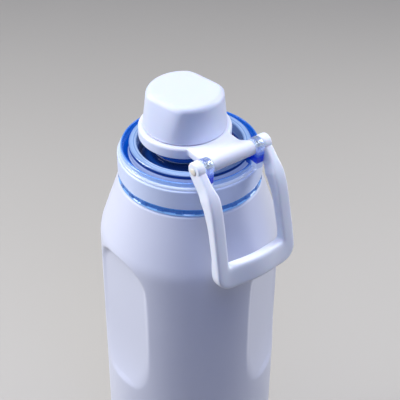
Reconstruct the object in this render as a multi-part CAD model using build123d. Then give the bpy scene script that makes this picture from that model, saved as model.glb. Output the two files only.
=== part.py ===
from build123d import *
import math
import os

# Insulated steel water bottle with a screw lid, a tethered drinking cap and a bail handle.
# Millimetres, +Z up. The origin is the centre of the foot pad's resting face, on the bottle's axis.
# The hinge that carries the cap's tether and the handle is on the +X side, its pin along Y.

# ---- driving dimensions -------------------------------------------------------------------
body_radius = 45.0
shoulder_base_z = 202.5          # where the straight wall turns into the shoulder cone
shoulder_top_z = 232.4
shoulder_top_radius = 35.0
shoulder_blend = 26.0
shell_bottom_z = 1.0
base_hole_radius = 40.0
shell_wall = 0.7
liner_wall = 0.7
liner_radius = 38.6
liner_floor_z = 9.0
neck_radius = 29.0
neck_bore_radius = 26.6
lip_z = 243.5                    # top of the drinking neck, where the gasket seals
thread_height = 1.2

panel_count = 3
panel_first_azimuth = -90.0      # degrees, centre of the first grip flat
panel_top_distance = 40.3        # from the axis to the flat at its upper end
panel_bottom_distance = 42.3
panel_top_z = 202.0
panel_bottom_z = 117.0
panel_half_width = 21.0
panel_corner = 12.0

skirt_bore_radius = 31.6
skirt_radius = 33.3
collar_radius = 35.0
collar_bottom_z = 236.6
collar_top_z = 246.8
rim_radius = 34.4
rim_top_z = 250.5
deck_z = 246.6                   # floor of the trough and of the pit around the cap
deck_thickness = 1.6
ledge_inner_radius = 25.4
ledge_outer_radius = 29.3
ledge_top_z = 252.0
plug_radius = 26.2
plug_bottom_z = 228.4
skirt_tooth_count = 24

hinge_x = 31.0
hinge_z = 260.0
barrel_radius = 3.6
barrel_half_length = 12.1
lug_inner_y = 12.4
lug_outer_y = 16.5
lug_radius = 4.2
pin_radius = 1.2
running_clearance = 0.05
boss_inner_y = 16.8
boss_outer_y = 21.1
boss_radius = 4.3

cap_axis_x = -4.2
cap_base_radius = 20.1
cap_top_radius = 18.2
cap_base_z = 259.8
cap_top_z = 278.2
cap_edge_round = 2.8
cap_flat_azimuth = 100.8         # degrees, direction that the first of the two flats faces
cap_flat_top_distance = 15.3
cap_neck_radius = 18.6
cap_neck_wall = 1.5
cap_neck_bottom_z = 254.5
cap_neck_bore_top_z = 262.0
cap_inner_radius = 15.05         # bore that the threaded liner sits in
cap_inner_top_z = 272.8
cap_cavity_radius = 12.5         # closed air space between the liner and the cap's top
cap_cavity_top_z = 275.6
liner_cup_radius = 15.0
liner_cup_bore = 14.1
liner_cup_bottom_z = 258.0
liner_thread_crest = 13.6
liner_thread_z = 262.3
seal_radius = 13.9
seal_bottom_z = 269.8
seal_top_z = 271.8
ring_radius = 22.3
ring_bottom_z = 254.8
ring_top_z = 259.5
ring_skirt_bottom_z = 253.6      # lip round the ring that hides the cap's snap ring
ring_skirt_bore = 20.8
arm_corner_round = 2.0           # hollow corner where the tether's arm leaves its ring
spout_bore_radius = 10.8
spout_radius = 12.7
spout_top_z = 269.5
spout_foot_z = 238.0             # lower end of the tube that drops into the plug
spout_flange_radius = 16.0
spout_taper_z = 265.5
spout_thread_heights = (260.6, 264.0)
plug_wall = 1.6
seal_ring_thickness = 0.6        # flat washer under the spout's flange

# handle, as it hangs: outline seen from outside as (y, z), side view as (x, z)
handle_top_outer_y = 22.0
handle_foot_outer_y = 23.0
handle_top_inner_y = 15.2
handle_foot_inner_y = 16.2
handle_foot_z = 203.8
handle_foot_round = 8.0
window_foot_z = 216.3
window_foot_round = 1.6
handle_outline_top_z = 266.0
handle_outer_side = [(31.0, 260.0), (37.6, 257.2), (42.4, 253.6), (45.6, 248.6),
                     (47.4, 241.0), (49.6, 231.0), (51.8, 221.0), (53.6, 211.0)]
handle_inner_side = [(47.6, 210.6), (46.2, 221.6), (44.4, 232.0), (42.0, 242.4),
                     (39.8, 248.2), (37.6, 250.6), (34.0, 253.2)]
crossbar_thickness = 6.2
crossbar_bow_radius = 110.0
crossbar_outer_x = 55.7


# ---- shared shape helpers -----------------------------------------------------------------
def lathe(points, rounds=(), centre_x=0.0):
    """Solid of revolution about a vertical axis at centre_x.

    points is the closed outline as (radius, z); rounds is (radius, z, fillet) for its corners.
    """
    outline = Polygon(*points, align=None)
    for corner_r, corner_z, size in rounds:
        corner = outline.vertices().sort_by_distance((corner_r, corner_z, 0))[0]
        outline = fillet(corner, size)
    return Pos(centre_x, 0, 0) * revolve(Plane.XZ * outline, axis=Axis.Z)


def tube(outer, inner, bottom, top, centre_x=0.0):
    """Plain ring between two radii and two heights."""
    return lathe([(inner, bottom), (outer, bottom), (outer, top), (inner, top)], centre_x=centre_x)


def disc(radius, bottom, top, centre_x=0.0):
    """Plain upright cylinder."""
    height = top - bottom
    return Pos(centre_x, 0, bottom + height / 2) * Cylinder(radius, height)


def rod_along_y(radius, y_low, y_high, x, z):
    """Cylinder along Y at (x, z), from y_low to y_high."""
    centre = Pos(x, (y_low + y_high) / 2, z)
    return centre * Rot(90, 0, 0) * Cylinder(radius, y_high - y_low)


def extrude_side_view(face_xz, y_low, y_high):
    """Outline drawn as (x, z), stretched along Y from y_low to y_high."""
    placed = Plane((0, y_low, 0), x_dir=(1, 0, 0), z_dir=(0, -1, 0)) * face_xz
    return extrude(placed, amount=y_high - y_low, dir=(0, 1, 0))


# ---- bottle: outer shell --------------------------------------------------------------------
def shell_solid(inset):
    """Filled outside form of the bottle, drawn in by inset on every side.

    The drawn-in form runs out through the top of the neck, so that taking it away leaves an open neck.
    """
    bottom_z = shell_bottom_z + inset
    top_z = lip_z - liner_wall + 2 * inset
    cone_rise = shoulder_top_z - shoulder_base_z
    cone_run = body_radius - shoulder_top_radius
    slope_gain = inset * (math.hypot(cone_rise, cone_run) - cone_rise) / cone_run
    outline = [
        (0, bottom_z),
        (body_radius - inset, bottom_z),
        (body_radius - inset, shoulder_base_z - slope_gain),
        (shoulder_top_radius - inset, shoulder_top_z - inset),
        (neck_radius - inset, shoulder_top_z - inset),
        (neck_radius - inset, top_z),
        (0, top_z),
    ]
    rounds = [
        (body_radius - inset, bottom_z, 4.0 - inset),
        (body_radius - inset, shoulder_base_z - slope_gain, shoulder_blend),
        (shoulder_top_radius - inset, shoulder_top_z - inset, 1.6),
        (neck_radius - inset, shoulder_top_z - inset, 0.8),
    ]
    return lathe(outline, rounds)


def grip_flat_cutter(azimuth, inset):
    """Block that planes one long, slightly leaning grip flat off the bottle's side."""
    height = panel_top_z - panel_bottom_z
    lean = math.degrees(math.atan2(panel_bottom_distance - panel_top_distance, height))
    outline = RectangleRounded(2 * (panel_half_width + inset), height + 2 * inset, panel_corner + inset)
    middle = (panel_top_distance + panel_bottom_distance) / 2 - inset
    block = extrude(Plane.YZ * outline, amount=12)
    centre = Pos(middle, 0, (panel_top_z + panel_bottom_z) / 2)
    return Rot(0, 0, azimuth) * centre * Rot(0, lean, 0) * block


def thread_ridges(root, crest, heights):
    """Plain rings that stand for the screw thread, between a root and a crest radius."""
    ridges = None
    for z in heights:
        ring = lathe([(root, z - 0.9), (crest, z - 0.3), (crest, z + 0.3), (root, z + 0.9)])
        ridges = ring if ridges is None else ridges + ring
    return ridges


def make_outer_shell():
    """Drawn steel outer wall with its neck, grip flats and neck thread."""
    outside = shell_solid(0)
    inside = shell_solid(shell_wall)
    for index in range(panel_count):
        azimuth = panel_first_azimuth + index * 360 / panel_count
        outside -= grip_flat_cutter(azimuth, 0)
        inside -= grip_flat_cutter(azimuth, shell_wall)
    wall = outside - inside - disc(base_hole_radius, 0, 2 * shell_bottom_z)
    return wall + thread_ridges(neck_radius - 0.2, neck_radius + thread_height, (236.4, 240.0))


# ---- bottle: inner liner, base, getter and foot pad -------------------------------------------
def make_inner_liner():
    """Drawn steel inner bottle; its turned-out lip lies on the outer shell's neck."""
    def filled(inset, floor_z, top_z):
        outline = [
            (0, floor_z),
            (liner_radius - inset, floor_z),
            (liner_radius - inset, 203.0),
            (neck_bore_radius + liner_wall - inset, 228.0),
            (neck_bore_radius + liner_wall - inset, top_z),
            (0, top_z),
        ]
        rounds = [
            (liner_radius - inset, floor_z, 6.0 - inset),
            (liner_radius - inset, 203.0, 14.0),
            (neck_bore_radius + liner_wall - inset, 228.0, 4.0),
        ]
        return lathe(outline, rounds)

    bottle = filled(0, liner_floor_z, lip_z) - filled(liner_wall, liner_floor_z + liner_wall, lip_z + 1)
    return bottle + tube(neck_radius, neck_bore_radius, lip_z - liner_wall, lip_z)


def make_base_cup():
    """Pressed steel base that closes the vacuum space, with a recess for the foot pad."""
    rim = base_hole_radius - 0.05
    outline = [
        (0, 4.0), (36.0, 4.0), (36.0, 1.0), (rim, 1.0), (rim, 1.8), (36.8, 1.8), (36.8, 4.8), (0, 4.8),
    ]
    return lathe(outline, [(36.8, 4.8, 0.6)])


def make_getter():
    """Small getter tablet that keeps the vacuum, welded inside the base cup."""
    return disc(6.0, 4.8, 6.3, centre_x=18.0)


def make_foot_pad():
    """Silicone pad bonded into the base recess; its flat face is what the bottle rests on."""
    return lathe([(0, 0), (35.6, 0), (35.6, 4.0), (0, 4.0)], [(35.6, 0, 0.8)])


# ---- lid: clear body, skirt ring, collar, plug, spout ------------------------------------------
def make_lid_body():
    """Clear moulded lid: skirt, rim, trough, raised ledge, pit floor and the two hinge lugs."""
    under_deck = deck_z - deck_thickness
    outline = [
        (ledge_inner_radius - 1.0, under_deck),
        (skirt_bore_radius, under_deck),
        (skirt_bore_radius, collar_bottom_z),
        (skirt_radius, collar_bottom_z),
        (skirt_radius, collar_top_z + 0.1),
        (rim_radius, collar_top_z + 0.1),
        (rim_radius, rim_top_z),
        (skirt_radius - 0.4, rim_top_z),
        (skirt_radius - 0.4, deck_z),
        (ledge_outer_radius, deck_z),
        (ledge_outer_radius, ledge_top_z),
        (ledge_inner_radius, ledge_top_z),
        (ledge_inner_radius, deck_z),
        (ledge_inner_radius - 1.0, deck_z),
    ]
    rounds = [
        (rim_radius, rim_top_z, 0.7),
        (skirt_radius - 0.4, rim_top_z, 0.6),
        (ledge_outer_radius, ledge_top_z, 0.7),
        (ledge_inner_radius, ledge_top_z, 0.7),
        (skirt_bore_radius, under_deck, 0.8),
    ]
    ring = lathe(outline, rounds)
    floor_hole = disc(spout_radius - 0.2, under_deck - 1, deck_z + 1, centre_x=cap_axis_x)
    floor = disc(ledge_inner_radius + 0.5, under_deck, deck_z) - floor_hole
    lid = ring + floor
    for side in (-1, 1):
        y_low, y_high = sorted((side * lug_inner_y, side * lug_outer_y))
        middle_y = (y_low + y_high) / 2
        rise = hinge_z - rim_top_z + 1.0
        lug = rod_along_y(lug_radius, y_low, y_high, hinge_x, hinge_z)
        stem = Box(2 * lug_radius - 1.2, y_high - y_low, rise)
        lug += Pos(hinge_x - 0.6, middle_y, hinge_z - rise / 2) * stem
        foot = Pos(hinge_x - 3.0, middle_y, rim_top_z - 2.5) * Box(9.0, y_high - y_low, 5.0)
        lug += foot & disc(skirt_radius - 0.2, deck_z - 0.6, rim_top_z)
        lug -= rod_along_y(pin_radius + 0.02, y_low - 1, y_high + 1, hinge_x, hinge_z)
        lid += lug
    inner_thread = thread_ridges(skirt_bore_radius + 0.2, neck_radius + thread_height + 0.4, (238.2, 241.8))
    return lid + inner_thread


def make_skirt_ring():
    """Clear ring clipped under the collar, with a row of shallow teeth round its outside."""
    top = collar_bottom_z - 0.1
    ring = tube(collar_radius - 0.1, skirt_bore_radius, shoulder_top_z + 0.3, top)
    for index in range(skirt_tooth_count):
        notch = Pos(collar_radius, 0, (shoulder_top_z + top) / 2) * Box(0.9, 1.4, 2.2)
        ring -= Rot(0, 0, index * 360 / skirt_tooth_count) * notch
    return ring


def make_collar_band():
    """Coated band round the skirt, held between the rim and the skirt ring."""
    outline = [
        (skirt_radius + 0.1, collar_bottom_z),
        (collar_radius, collar_bottom_z),
        (collar_radius, collar_top_z),
        (skirt_radius + 0.1, collar_top_z),
    ]
    return lathe(outline, [(collar_radius, collar_top_z, 0.8), (collar_radius, collar_bottom_z, 0.3)])


def make_lid_core():
    """Moulded plug under the lid: outer wall, top web and the tube round the drinking bore."""
    top = deck_z - deck_thickness
    weld_z = plug_bottom_z + plug_wall
    outer = disc(plug_radius, weld_z, top) - disc(plug_radius - plug_wall, 0, top - 2.0)
    chimney = disc(spout_radius + plug_wall, weld_z, top, centre_x=cap_axis_x)
    bore = disc(spout_radius - 0.2, 0, top + 1, centre_x=cap_axis_x)
    return outer + chimney - bore


def make_plug_plate():
    """Plate welded under the plug, which closes its insulating air space."""
    bore = disc(spout_radius - 0.2, 0, 300, centre_x=cap_axis_x)
    weld_z = plug_bottom_z + plug_wall
    outline = [(0, plug_bottom_z), (plug_radius, plug_bottom_z), (plug_radius, weld_z), (0, weld_z)]
    return lathe(outline, [(plug_radius, plug_bottom_z, 0.8)]) - bore


def make_lid_gasket():
    """Silicone ring that seals the lid on the neck's lip."""
    return tube(neck_radius, neck_bore_radius + 0.1, lip_z, deck_z - deck_thickness)


def make_spout():
    """Moulded drinking spout with its flange, cap thread and the tube that drops into the plug."""
    outline = [
        (spout_bore_radius, spout_foot_z),
        (spout_radius - 0.3, spout_foot_z),
        (spout_radius - 0.3, deck_z + seal_ring_thickness),
        (spout_flange_radius, deck_z + seal_ring_thickness),
        (spout_flange_radius, deck_z + 2.0),
        (spout_radius, deck_z + 2.6),
        (spout_radius, spout_taper_z),
        (spout_radius - 0.8, spout_top_z),
        (spout_bore_radius, spout_top_z),
    ]
    rounds = [(spout_radius - 0.8, spout_top_z, 0.9), (spout_radius, spout_taper_z, 3.0)]
    spout = lathe(outline, rounds, centre_x=cap_axis_x)
    for z in spout_thread_heights:
        ridge = lathe([(spout_radius - 0.2, z - 0.7), (spout_radius + 0.5, z - 0.25),
                       (spout_radius + 0.5, z + 0.25), (spout_radius - 0.2, z + 0.7)], centre_x=cap_axis_x)
        spout += ridge
    return spout


def make_spout_seal():
    """Flat silicone washer between the spout's flange and the lid."""
    outer = spout_flange_radius - 0.4
    return tube(outer, spout_radius + 0.1, deck_z, deck_z + seal_ring_thickness, centre_x=cap_axis_x)


# ---- drinking cap --------------------------------------------------------------------------
def make_cap_shell():
    """Outer cap: tapered round wall with two opposed finger flats and a neck for the tether ring."""
    outline = [
        (0, cap_neck_bottom_z),
        (cap_neck_radius, cap_neck_bottom_z),
        (cap_neck_radius, cap_base_z),
        (cap_base_radius, cap_base_z),
        (cap_top_radius, cap_top_z),
        (0, cap_top_z),
    ]
    cap = lathe(outline)
    lean = math.degrees(math.atan2(cap_base_radius - cap_flat_top_distance, cap_top_z - cap_base_z - 0.6))
    for azimuth in (cap_flat_azimuth, cap_flat_azimuth + 180):
        block = Pos(10, 0, -10) * Box(20, 60, 60)
        cap -= Rot(0, 0, azimuth) * Pos(cap_flat_top_distance, 0, cap_top_z) * Rot(0, -lean, 0) * block
    top_edges = cap.faces().sort_by(Axis.Z)[-1].edges()
    cap = fillet(top_edges, cap_edge_round)
    cap -= disc(cap_neck_radius - cap_neck_wall, 0, cap_neck_bore_top_z)
    cap -= disc(cap_inner_radius, 0, cap_inner_top_z)
    cap -= disc(cap_cavity_radius, 0, cap_cavity_top_z)
    return Pos(cap_axis_x, 0, 0) * cap


def make_cap_liner():
    """Threaded cup fixed inside the cap."""
    cup = tube(liner_cup_radius, liner_cup_bore, liner_cup_bottom_z, cap_inner_top_z, centre_x=cap_axis_x)
    cup += disc(liner_cup_radius, seal_top_z, cap_inner_top_z, centre_x=cap_axis_x)
    root, crest, z = liner_cup_bore + 0.2, liner_thread_crest, liner_thread_z
    profile = [(root, z - 0.7), (crest, z - 0.25), (crest, z + 0.25), (root, z + 0.7)]
    return cup + lathe(profile, centre_x=cap_axis_x)


def make_cap_seal():
    """Silicone disc that closes the spout's mouth."""
    return disc(seal_radius, seal_bottom_z, seal_top_z, centre_x=cap_axis_x)


def make_cap_retainer():
    """Snap ring on the cap's neck that keeps the tether ring on while the cap turns."""
    bore = cap_neck_radius - cap_neck_wall
    return tube(20.2, bore, cap_neck_bottom_z - 1.1, cap_neck_bottom_z, centre_x=cap_axis_x)


def make_tether():
    """Tether: ring round the cap's neck, a straight arm and the hinge barrel, one moulding."""
    outline = [
        (0, ring_bottom_z),
        (ring_skirt_bore, ring_bottom_z),
        (ring_skirt_bore, ring_skirt_bottom_z),
        (ring_radius, ring_skirt_bottom_z),
        (ring_radius, ring_top_z),
        (0, ring_top_z),
    ]
    ring = lathe(outline, [(ring_radius, ring_top_z, 1.6)], centre_x=cap_axis_x)
    corner_reach = ring_radius + arm_corner_round
    corner_y = barrel_half_length + arm_corner_round
    corner_x = math.sqrt(corner_reach**2 - corner_y**2)
    touch = ring_radius / corner_reach
    arm_plan = Polygon(
        (cap_axis_x + touch * corner_x, -touch * corner_y),
        (cap_axis_x + corner_x, -barrel_half_length),
        (hinge_x, -barrel_half_length),
        (hinge_x, barrel_half_length),
        (cap_axis_x + corner_x, barrel_half_length),
        (cap_axis_x + touch * corner_x, touch * corner_y),
        align=None,
    )
    arm = Pos(0, 0, 256.6) * extrude(arm_plan, amount=5.2)
    arm = arm & (disc(80, 256.0, ring_top_z) + rod_along_y(barrel_radius, -40, 40, hinge_x, hinge_z)
                 + Pos(hinge_x - 3.5, 0, hinge_z - 0.6) * Box(7, 40, 5.0))
    barrel = rod_along_y(barrel_radius, -barrel_half_length, barrel_half_length, hinge_x, hinge_z)
    tether = ring + arm + barrel
    tether -= disc(cap_neck_radius + 0.3, 0, 300, centre_x=cap_axis_x)
    tether -= disc(cap_base_radius + 0.6, cap_base_z - 0.3, 300, centre_x=cap_axis_x)
    bore = rod_along_y(pin_radius + running_clearance, -40, 40, hinge_x, hinge_z)
    return tether - bore


# ---- hinge and handle -------------------------------------------------------------------------
def make_hinge_pin():
    """Steel pin through the lugs, the tether's barrel and both handle bosses."""
    return rod_along_y(pin_radius, -boss_outer_y - 0.2, boss_outer_y + 0.2, hinge_x, hinge_z)


def make_pin_cap(side):
    """Small press-on cap that closes one end of the hinge pin."""
    y_low, y_high = sorted((side * (boss_outer_y + 0.2), side * (boss_outer_y + 0.8)))
    return rod_along_y(2.6, y_low, y_high, hinge_x, hinge_z)


def make_handle():
    """Bail handle: two cranked arms and a bowed crossbar, one moulding."""
    top_z = handle_outline_top_z
    outline = Polygon((-handle_foot_outer_y, handle_foot_z), (handle_foot_outer_y, handle_foot_z),
                      (handle_top_outer_y, top_z), (-handle_top_outer_y, top_z), align=None)
    outline = fillet(outline.vertices().sort_by(Axis.Y)[:2], handle_foot_round)
    window = Polygon((-handle_foot_inner_y, window_foot_z), (handle_foot_inner_y, window_foot_z),
                     (handle_top_inner_y, top_z + 4), (-handle_top_inner_y, top_z + 4), align=None)
    window = fillet(window.vertices().sort_by(Axis.Y)[:2], window_foot_round)
    front_view = extrude(Plane.YZ * (outline - window), amount=80)

    side_view = Polygon(*handle_outer_side, *handle_inner_side, align=None)
    arms = extrude_side_view(side_view, -handle_foot_outer_y - 1, handle_foot_outer_y + 1)
    bow_inner_radius = crossbar_bow_radius - crossbar_thickness
    bow_centre = Pos(crossbar_outer_x - crossbar_bow_radius, 0, 0)
    band = disc(crossbar_bow_radius, handle_foot_z, window_foot_z) - disc(bow_inner_radius, 0, 300)
    crossbar = bow_centre * band & Pos(50, 0, 208) * Box(30, 60, 60)
    handle = (arms + crossbar) & front_view

    handle -= Pos(hinge_x, 0, hinge_z) * Box(13.0, 2 * boss_inner_y, 16.0)
    for side in (-1, 1):
        handle -= Pos(hinge_x, side * (boss_outer_y + 5), hinge_z) * Box(13.0, 10.0, 16.0)
        boss_low, boss_high = sorted((side * boss_inner_y, side * boss_outer_y))
        handle += rod_along_y(boss_radius, boss_low, boss_high, hinge_x, hinge_z)
    return handle - rod_along_y(pin_radius + running_clearance, -40, 40, hinge_x, hinge_z)


nodes = {
    "outer_shell": make_outer_shell(),
    "inner_liner": make_inner_liner(),
    "base_cup": make_base_cup(),
    "getter": make_getter(),
    "foot_pad": make_foot_pad(),
    "lid_gasket": make_lid_gasket(),
    "lid_body": make_lid_body(),
    "skirt_ring": make_skirt_ring(),
    "collar_band": make_collar_band(),
    "lid_core": make_lid_core(),
    "plug_plate": make_plug_plate(),
    "spout": make_spout(),
    "spout_seal": make_spout_seal(),
    "cap_shell": make_cap_shell(),
    "cap_liner": make_cap_liner(),
    "cap_seal": make_cap_seal(),
    "cap_retainer": make_cap_retainer(),
    "tether": make_tether(),
    "hinge_pin": make_hinge_pin(),
    "pin_cap_left": make_pin_cap(1),
    "pin_cap_right": make_pin_cap(-1),
    "handle": make_handle(),
}

os.makedirs("parts", exist_ok=True)
for name, shape in nodes.items():
    export_step(shape, f"parts/{name}.step")
    print(name, round(shape.volume, 1))
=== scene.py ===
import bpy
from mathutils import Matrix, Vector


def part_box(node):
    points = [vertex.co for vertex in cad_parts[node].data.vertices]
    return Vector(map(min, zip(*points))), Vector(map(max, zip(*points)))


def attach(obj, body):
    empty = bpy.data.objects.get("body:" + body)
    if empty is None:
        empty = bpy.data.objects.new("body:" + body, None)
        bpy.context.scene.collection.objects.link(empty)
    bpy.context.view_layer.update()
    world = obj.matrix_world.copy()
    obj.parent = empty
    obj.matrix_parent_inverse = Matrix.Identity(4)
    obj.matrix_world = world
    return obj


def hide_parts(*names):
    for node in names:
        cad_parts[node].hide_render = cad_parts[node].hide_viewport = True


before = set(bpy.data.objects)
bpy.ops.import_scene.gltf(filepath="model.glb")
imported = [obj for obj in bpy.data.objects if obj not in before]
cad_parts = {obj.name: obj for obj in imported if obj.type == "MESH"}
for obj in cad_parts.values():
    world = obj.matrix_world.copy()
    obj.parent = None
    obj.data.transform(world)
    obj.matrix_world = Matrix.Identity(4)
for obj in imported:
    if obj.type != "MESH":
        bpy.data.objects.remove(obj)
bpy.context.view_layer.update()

import math

import bmesh
import bpy
import numpy as np


# ---- Outer shell ---------------------------------------------------------------------------
# The outer wall is drawn and hydroformed from stainless sheet, with three long grip flats
# pressed into it and a screw thread rolled into its neck. It is powder coated.

MM = 0.001
shell_low, shell_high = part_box("outer_shell")
body_radius = shell_high.x / MM
shell_foot = shell_low.z / MM
neck_top = shell_high.z / MM
sheet = 0.7
shoulder_base = 202.5
shoulder_top = 232.4
neck_radius = 29.0

flat_first_turn = math.radians(-90)
flat_top, flat_bottom = 204.0, 115.5
flat_half_width = 22.6
flat_depth_top, flat_depth_bottom = 40.1, 45.0     # distance of the flat from the axis
flat_corner_top, flat_corner_bottom = 17.5, 15.0
flat_run_out = 7                                   # power by which the foot runs out into the wall
flat_ramp_height, flat_ramp_width, flat_ramp_extra = 6.0, 4.2, 3.0
flat_edge_round = 1.3

thread_zone, thread_top = 234.0, 242.4


def rounded_path(corners, closed=True, steps=7, hold=0.12):
    """Outline through (a, b, radius) corners: each corner becomes an arc of that radius.

    The arc touches both sides at radius / tan(half the corner's angle). One extra point just past
    each end of the arc keeps the straight stretches flat under smooth shading.
    """
    points = np.array([corner[:2] for corner in corners], float)
    radii = np.array([corner[2] for corner in corners], float)
    if not closed:
        radii[[0, -1]] = 0
    back, ahead = np.roll(points, 1, 0) - points, np.roll(points, -1, 0) - points
    back_length, ahead_length = np.hypot(*back.T), np.hypot(*ahead.T)
    back, ahead = back / back_length[:, None], ahead / ahead_length[:, None]
    half = 0.5 * np.arccos(np.clip((back * ahead).sum(1), -1, 1))
    reach = radii / np.tan(half)
    spare_back = np.minimum(hold, 0.4 * (back_length - reach - np.roll(reach, 1)))
    spare_ahead = np.minimum(hold, 0.4 * (ahead_length - reach - np.roll(reach, -1)))
    path = []
    for index, radius in enumerate(radii):
        if radius == 0:
            path.append(points[index:index + 1])
            continue
        middle, across = back[index] + ahead[index], ahead[index] - back[index]
        middle, across = middle / np.hypot(*middle), across / np.hypot(*across)
        centre = points[index] + middle * radius / math.sin(half[index])
        swing = np.linspace(-1, 1, steps + 1)[:, None] * (math.pi / 2 - half[index])
        arc = centre + radius * (np.sin(swing) * across - np.cos(swing) * middle)
        path += [points[index:index + 1] + back[index] * (reach[index] + spare_back[index]), arc,
                 points[index:index + 1] + ahead[index] * (reach[index] + spare_ahead[index])]
    return np.vstack(path)


def divide(path, longest):
    """The same path with extra points, so that no stretch is longer than longest."""
    stretch = np.hypot(*np.diff(path, axis=0).T)
    travelled = np.concatenate([[0], np.cumsum(stretch)])
    marks = np.unique(np.concatenate([travelled, np.arange(0, travelled[-1], longest)]))
    return np.column_stack([np.interp(marks, travelled, path[:, 0]), np.interp(marks, travelled, path[:, 1])])


def spin(path, turns=192, centre_x=0.0):
    """Grid of points: each (radius, height) of the path carried once round a vertical axis.

    centre_x may differ from point to point, which leans the axis sideways as the path goes on.
    """
    turn = np.linspace(0, 2 * np.pi, turns, endpoint=False)[:, None]
    radius, height = path[:, 0][None], path[:, 1][None]
    x = centre_x + radius * np.cos(turn)
    y = radius * np.sin(turn)
    return np.stack([x, y, np.broadcast_to(height, x.shape)], axis=-1)


def skin(name, grid, around=True, along=True, sharp=38):
    """Mesh object over a grid of points in millimetres, closed around and along where told.

    Neighbouring grid points make quads; rows that fall on one point become a pole.
    """
    rows, columns = grid.shape[:2]
    u = np.arange(rows if around else rows - 1)[:, None]
    v = np.arange(columns if along else columns - 1)[None]
    next_u, next_v = (u + 1) % rows, (v + 1) % columns
    quads = np.stack([u * columns + v, next_u * columns + v,
                      next_u * columns + next_v, u * columns + next_v], -1)
    mesh = bpy.data.meshes.new(name)
    mesh.from_pydata((grid.reshape(-1, 3) * MM).tolist(), [], quads.reshape(-1, 4).tolist())
    return finish_mesh(name, mesh, sharp)


def finish_mesh(name, mesh, sharp=38):
    """Object for a mesh: poles merged, faces turned outwards, smooth with sharp edges kept."""
    work = bmesh.new()
    work.from_mesh(mesh)
    bmesh.ops.remove_doubles(work, verts=work.verts, dist=1e-7)
    bmesh.ops.dissolve_degenerate(work, edges=work.edges, dist=1e-7)
    bmesh.ops.recalc_face_normals(work, faces=work.faces)
    work.to_mesh(mesh)
    work.free()
    mesh.shade_smooth()
    mesh.set_sharp_from_angle(angle=math.radians(sharp))
    piece = bpy.data.objects.new(name, mesh)
    bpy.context.scene.collection.objects.link(piece)
    return piece


def smooth_step(value, low, high):
    """0 below low, 1 above high, and a cubic S between them."""
    t = np.clip((value - low) / (high - low), 0, 1)
    return t * t * (3 - 2 * t)


def soft_min(a, b, width):
    """The smaller of a and b, with the crossing rounded over about width."""
    mix = np.clip(0.5 + 0.5 * (b - a) / width, 0, 1)
    return b * (1 - mix) + a * mix - width * mix * (1 - mix)


def pressed_flats(radius, height, turn, inset):
    """Radius of the wall with the flats pressed in.

    A flat is a plane at distance d(height) from the axis, so its radius is d / cos(angle from its
    centre), and d grows by the 7th power of the way down, so that the foot of the flat runs out into
    the wall. The outline is a rounded rectangle; towards it the plane rises out of the wall.
    """
    angle = (turn - flat_first_turn + np.pi / 3) % (2 * np.pi / 3) - np.pi / 3
    middle, half_length = (flat_top + flat_bottom) / 2, (flat_top - flat_bottom) / 2
    corner = np.where(height > middle, flat_corner_top, flat_corner_bottom)
    side = np.abs(body_radius * np.sin(angle)) - (flat_half_width - corner)
    rise = np.abs(height - middle) - (half_length - corner)
    outside = np.hypot(np.maximum(side, 0), np.maximum(rise, 0)) + np.minimum(np.maximum(side, rise), 0)
    inward = corner - outside
    down = np.clip((flat_top - height) / (flat_top - flat_bottom), 0, 1)
    ramp_width = flat_ramp_width + flat_ramp_extra * (1 - down) ** 6
    ramp = flat_ramp_height * (1 - smooth_step(inward, 0, ramp_width))
    distance = flat_depth_top + (flat_depth_bottom - flat_depth_top) * down ** flat_run_out - inset + ramp
    return soft_min(radius, distance / np.cos(angle), flat_edge_round)


def rolled_thread(radius, height, turn, first, pitch, turns_long, crest):
    """Radius with one helical ridge: a rounded bump that climbs by pitch each turn."""
    lift = np.zeros(np.broadcast(radius, height, turn).shape)
    for lap in range(int(turns_long) + 1):
        along = turn / (2 * np.pi) + lap
        fade = smooth_step(along, 0, 0.12) * (1 - smooth_step(along, turns_long - 0.12, turns_long))
        offset = (height - first - pitch * along) / (0.27 * pitch)
        lift = np.maximum(lift, crest * fade * np.exp(-offset ** 4))
    return radius + lift


outer_path = rounded_path([
    (40.0, shell_foot, 0), (body_radius, shell_foot, 4.0), (body_radius, shoulder_base, 26.0),
    (35.0, shoulder_top, 1.6), (neck_radius, shoulder_top, 0.8), (neck_radius, neck_top, 0)], closed=False)
outer_path = divide(outer_path, 1.3)
inner_path = rounded_path([
    (neck_radius - sheet, neck_top, 0), (neck_radius - sheet, shoulder_top - sheet, 0.8),
    (35.0 - sheet, shoulder_top - sheet, 1.6), (body_radius - sheet, shoulder_base, 26.0),
    (body_radius - sheet, shell_foot + sheet, 3.3), (40.0, shell_foot + sheet, 0)], closed=False)
inner_path = divide(inner_path, 4.0)
neck_rows = np.column_stack([np.full(40, neck_radius), np.linspace(thread_zone + 0.2, thread_top, 40)])
outer_path = np.vstack([outer_path[outer_path[:, 1] < thread_zone], neck_rows, outer_path[-1:]])
shell_grid = spin(np.vstack([outer_path, inner_path]), turns=288)
turn = np.arctan2(shell_grid[..., 1], shell_grid[..., 0]) % (2 * np.pi)
radius = np.hypot(shell_grid[..., 0], shell_grid[..., 1])
height = shell_grid[..., 2]
inset = np.concatenate([np.zeros(len(outer_path)), np.full(len(inner_path), sheet)])[None]
radius = pressed_flats(radius, height, turn, inset)
threaded = rolled_thread(radius, height, turn, first=235.6, pitch=2.9, turns_long=1.8, crest=1.15)
on_neck = (inset == 0) & (height > thread_zone)
radius = np.where(on_neck, threaded, radius)
shell_grid = np.stack([radius * np.cos(turn), radius * np.sin(turn), height], -1)
outer_shell = skin("coated_outer_shell", shell_grid)


def linear(hex_colour):
    """sRGB hex colour as linear red, green, blue and alpha 1."""
    channels = [int(hex_colour[i:i + 2], 16) / 255 for i in (1, 3, 5)]
    return [c / 12.92 if c <= 0.04045 else ((c + 0.055) / 1.055) ** 2.4 for c in channels] + [1.0]


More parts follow.
